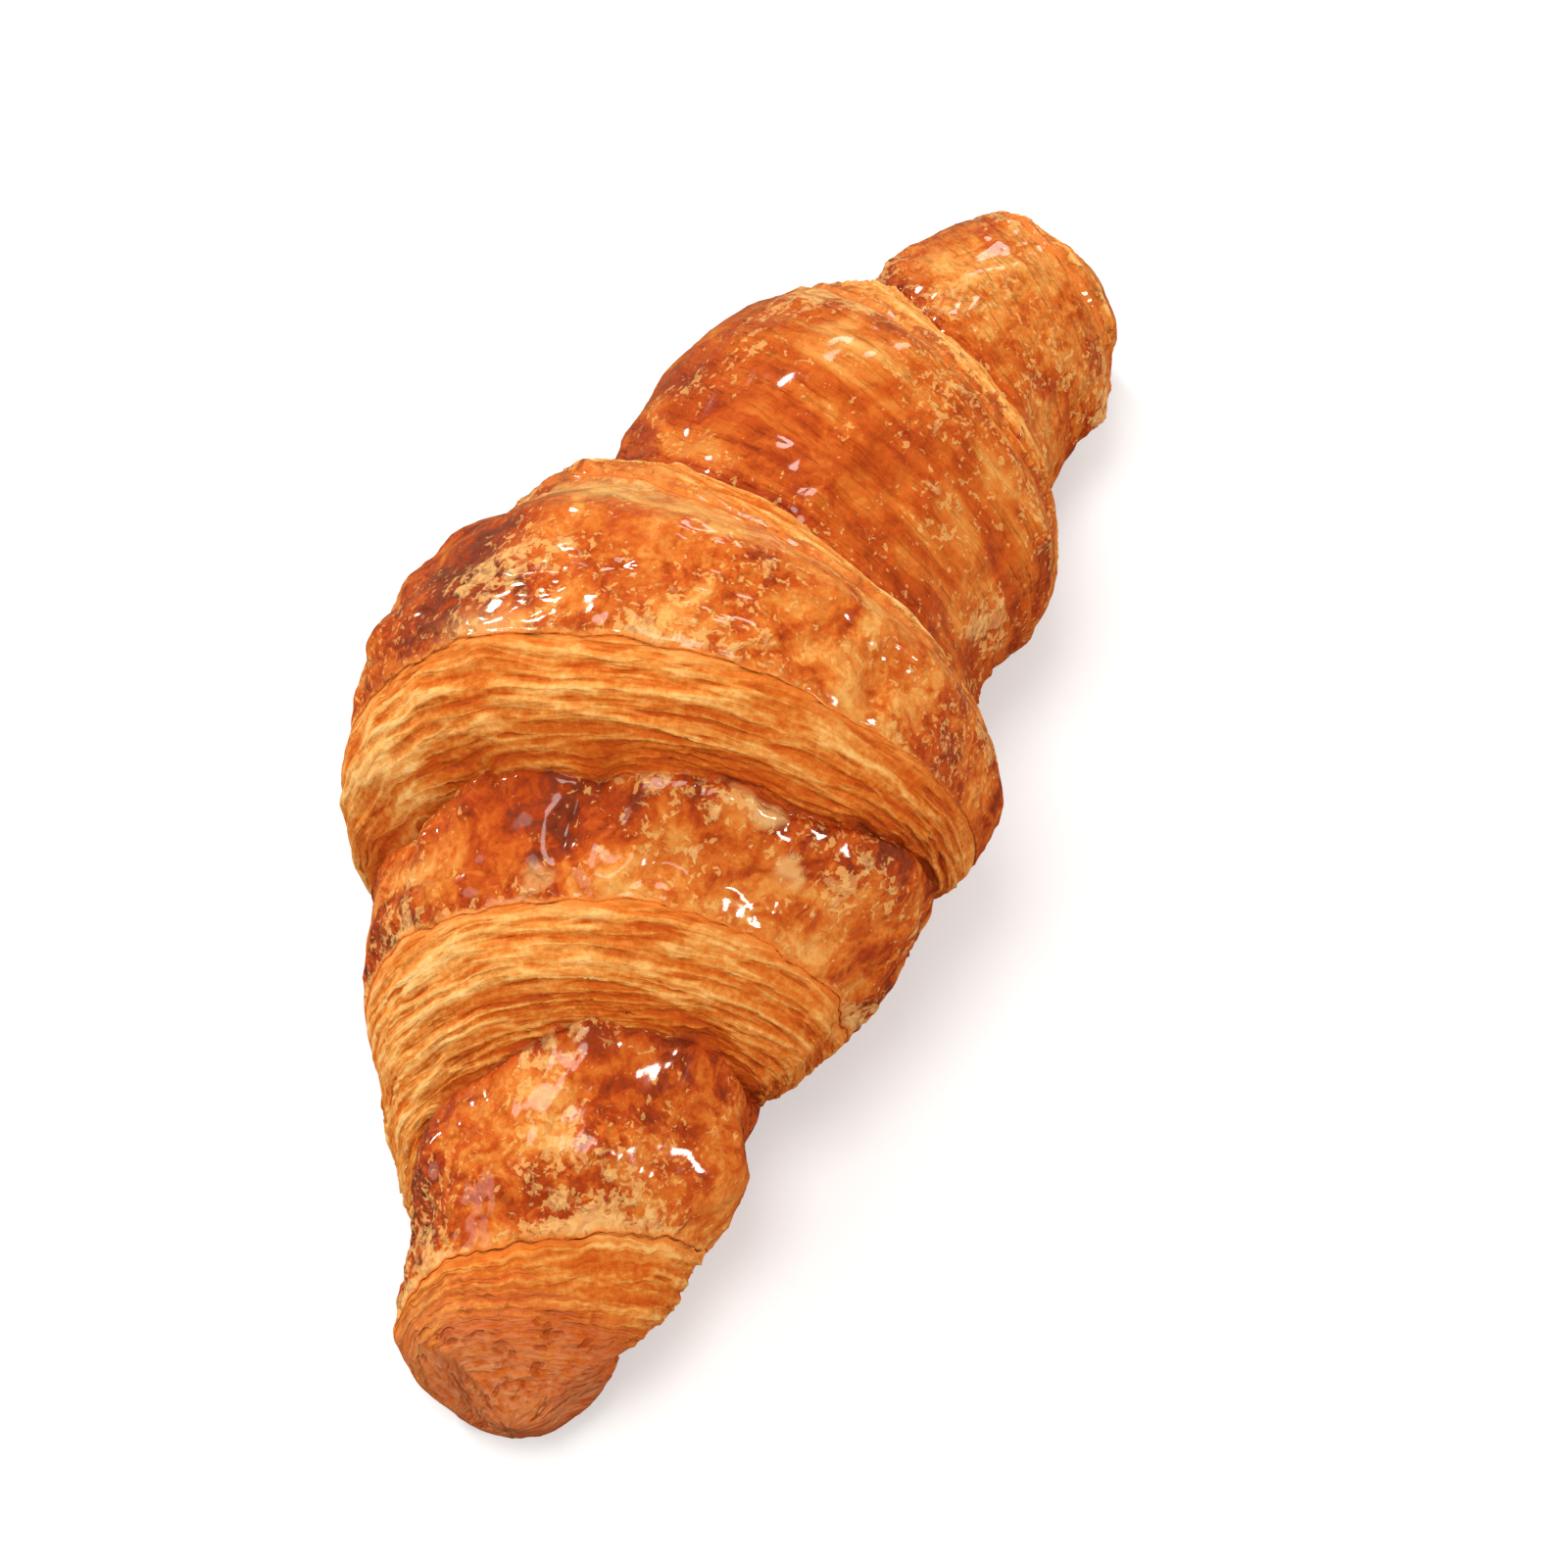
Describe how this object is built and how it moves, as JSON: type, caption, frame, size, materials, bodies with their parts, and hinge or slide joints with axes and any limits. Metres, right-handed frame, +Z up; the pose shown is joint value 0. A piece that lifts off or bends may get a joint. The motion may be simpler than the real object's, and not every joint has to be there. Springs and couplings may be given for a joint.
{
  "type": "croissant",
  "caption": "Baked crescent pastry rolled from layered dough, with spiral steps down to its two tips; lies on its flat base.",
  "frame": {"origin": "on the surface that the croissant lies on, under the middle of its bounding box", "axes": "+X from the slimmer tip to the blunt tip, -Y to the hollow side that both tips bend towards, +Z up"},
  "size_m": [0.1702, 0.0722, 0.0655],
  "materials": {
    "pastry_crust": "egg-washed golden to red-brown baked crust with bare layered edges"
  },
  "bodies": {
    "root": {"croissant": "pastry_crust"}
  },
  "joints": []
}
